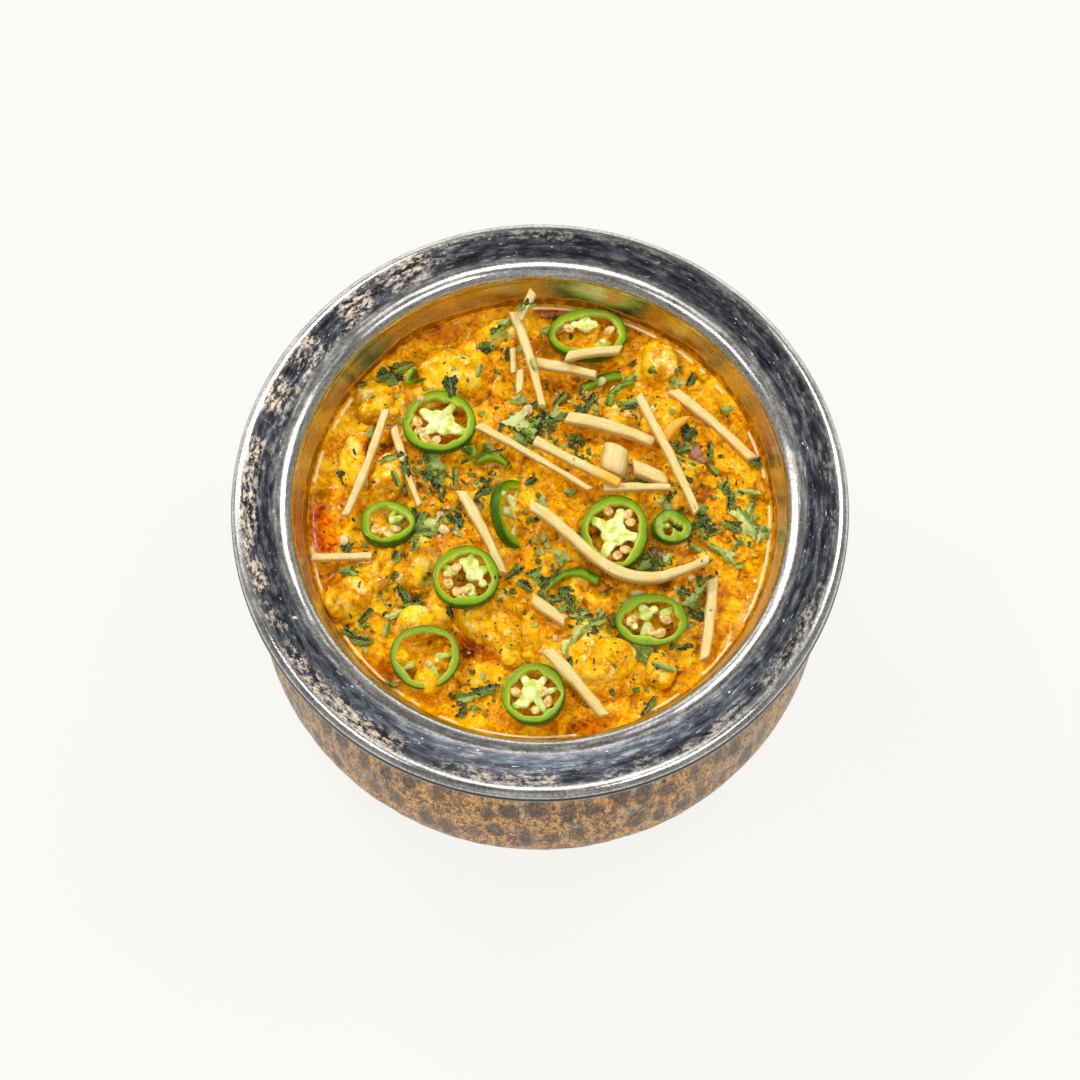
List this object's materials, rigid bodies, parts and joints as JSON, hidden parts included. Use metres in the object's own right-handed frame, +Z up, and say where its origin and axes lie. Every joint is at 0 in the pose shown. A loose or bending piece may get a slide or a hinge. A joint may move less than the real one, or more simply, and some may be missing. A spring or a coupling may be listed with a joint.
{
  "type": "chicken curry",
  "caption": "Chicken curry in a hammered copper bowl with a steel liner and a broad rolled rim, topped with green chilli rings, ginger sticks and chopped herbs",
  "frame": {"origin": "centre of the flat foot, where the bowl stands", "axes": "+Z up out of the bowl's mouth, -Y toward the side it is served from, +X to that side's right"},
  "size_m": [0.1798, 0.1798, 0.096],
  "materials": {
    "copper": "copper alloy with hand-hammered dimples, dull and patinated",
    "steel": "polished stainless steel, worn and stained on the rim",
    "sauce": "thick oily orange-yellow curry sauce",
    "meat": "boneless chicken pieces coated with sauce",
    "pepper": "fresh sliced green chilli",
    "root": "raw peeled ginger, cut in thin sticks"
  },
  "bodies": {
    "root": {"copper_jacket": "copper", "steel_liner": "steel", "gravy": "sauce", "chicken_01": "meat", "chicken_02": "meat", "chicken_03": "meat", "chicken_04": "meat", "chicken_05": "meat", "chicken_06": "meat", "chicken_07": "meat", "chicken_08": "meat", "chicken_09": "meat", "chicken_10": "meat", "chicken_11": "meat", "chicken_12": "meat", "chicken_13": "meat", "chicken_14": "meat", "chicken_15": "meat", "chilli_ring_01": "pepper", "chilli_ring_02": "pepper", "chilli_ring_03": "pepper", "chilli_ring_04": "pepper", "chilli_ring_05": "pepper", "chilli_ring_06": "pepper", "chilli_ring_07": "pepper", "chilli_ring_08": "pepper", "chilli_ring_09": "pepper", "chilli_ring_10": "pepper", "chilli_strip_01": "pepper", "chilli_strip_02": "pepper", "chilli_strip_03": "pepper", "chilli_strip_04": "pepper", "chilli_strip_05": "pepper", "chilli_strip_06": "pepper", "ginger_01": "root", "ginger_02": "root", "ginger_03": "root", "ginger_04": "root", "ginger_05": "root", "ginger_06": "root", "ginger_07": "root", "ginger_08": "root", "ginger_09": "root", "ginger_10": "root", "ginger_11": "root", "ginger_12": "root", "ginger_13": "root", "ginger_14": "root", "ginger_15": "root", "ginger_16": "root", "ginger_17": "root", "ginger_18": "root", "ginger_19": "root", "ginger_20": "root", "ginger_21": "root", "ginger_22": "root", "ginger_23": "root"}
  },
  "joints": []
}
